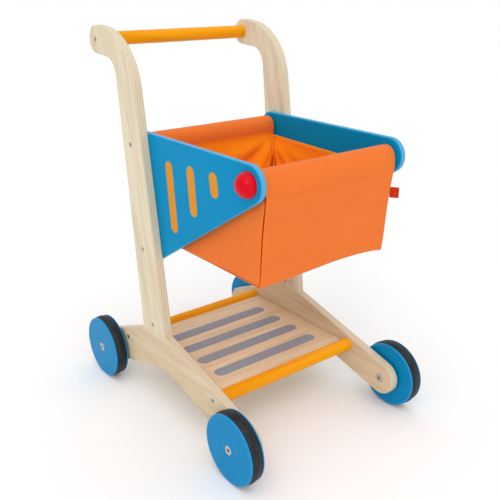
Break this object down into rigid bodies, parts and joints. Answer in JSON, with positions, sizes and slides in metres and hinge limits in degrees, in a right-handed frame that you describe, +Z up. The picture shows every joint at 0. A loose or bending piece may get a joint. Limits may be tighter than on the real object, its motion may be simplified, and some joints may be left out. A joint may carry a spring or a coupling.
{
  "type": "toy shopping cart",
  "caption": "Child's wooden push-along shopping cart: plywood side frames, dowel handle, hung fabric basket, lower shelf and free-rolling rubber-tyred wheels.",
  "frame": {"origin": "floor point under the middle of the wheelbase and track: bottom centre of the bounding box", "axes": "+Z up from the floor; -Y is the front (basket nose), +Y the handle side; +X is the pusher's left"},
  "size_m": [0.284, 0.393, 0.4866],
  "materials": {
    "plywood": "clear satin lacquer on birch plywood, edges show the plies",
    "shelf_plywood": "clear satin lacquer on thin plywood, with printed grey stripes",
    "bare_dowel": "bare beech dowel",
    "blue_paint": "satin-gloss blue paint on plywood, with printed golden stripes",
    "wheel_paint": "gloss blue paint on wood",
    "yellow_paint": "satin yellow-orange paint on dowel",
    "orange_fabric": "orange woven cotton canvas",
    "red_tag": "red woven ribbon",
    "red_cap": "high gloss",
    "tyre": "black rubber band, satin",
    "steel": "zinc-plated steel"
  },
  "bodies": {
    "frame": {"left_leg": "plywood", "right_leg": "plywood", "left_post": "plywood", "right_post": "plywood", "left_side_panel": "blue_paint", "right_side_panel": "blue_paint", "left_cap": "red_cap", "right_cap": "red_cap", "handle_bar": "yellow_paint", "basket_front_rod": "bare_dowel", "basket_rear_rod": "bare_dowel", "shelf_front_rail": "yellow_paint", "shelf_rear_rail": "yellow_paint", "shelf_board": "shelf_plywood", "basket": "orange_fabric", "basket_tag": "red_tag", "front_left_axle_nut": "steel", "front_right_axle_nut": "steel", "rear_left_axle_nut": "steel", "rear_right_axle_nut": "steel", "front_left_axle_bolt": "steel", "front_right_axle_bolt": "steel", "rear_left_axle_bolt": "steel", "rear_right_axle_bolt": "steel", "front_left_washer": "steel", "front_right_washer": "steel", "rear_left_washer": "steel", "rear_right_washer": "steel", "handle_screws": "steel", "rear_rod_screws": "steel", "panel_screws": "steel", "post_lap_screws": "steel", "front_rail_screws": "steel", "rear_rail_screws": "steel", "front_rod_screws": "steel"},
    "front_left_wheel_set": {"front_left_wheel": "wheel_paint", "front_left_tyre": "tyre"},
    "front_right_wheel_set": {"front_right_wheel": "wheel_paint", "front_right_tyre": "tyre"},
    "rear_left_wheel_set": {"rear_left_wheel": "wheel_paint", "rear_left_tyre": "tyre"},
    "rear_right_wheel_set": {"rear_right_wheel": "wheel_paint", "rear_right_tyre": "tyre"}
  },
  "joints": [
    {"name": "front_left_wheel_spin", "type": "hinge", "parent": "frame", "child": "front_left_wheel_set", "pos_m": [0.1325, -0.1525, 0.044], "axis": [1, 0, 0], "continuous": true},
    {"name": "front_right_wheel_spin", "type": "hinge", "parent": "frame", "child": "front_right_wheel_set", "pos_m": [-0.1325, -0.1525, 0.044], "axis": [1, 0, 0], "continuous": true},
    {"name": "rear_left_wheel_spin", "type": "hinge", "parent": "frame", "child": "rear_left_wheel_set", "pos_m": [0.1325, 0.1525, 0.044], "axis": [1, 0, 0], "continuous": true},
    {"name": "rear_right_wheel_spin", "type": "hinge", "parent": "frame", "child": "rear_right_wheel_set", "pos_m": [-0.1325, 0.1525, 0.044], "axis": [1, 0, 0], "continuous": true}
  ]
}
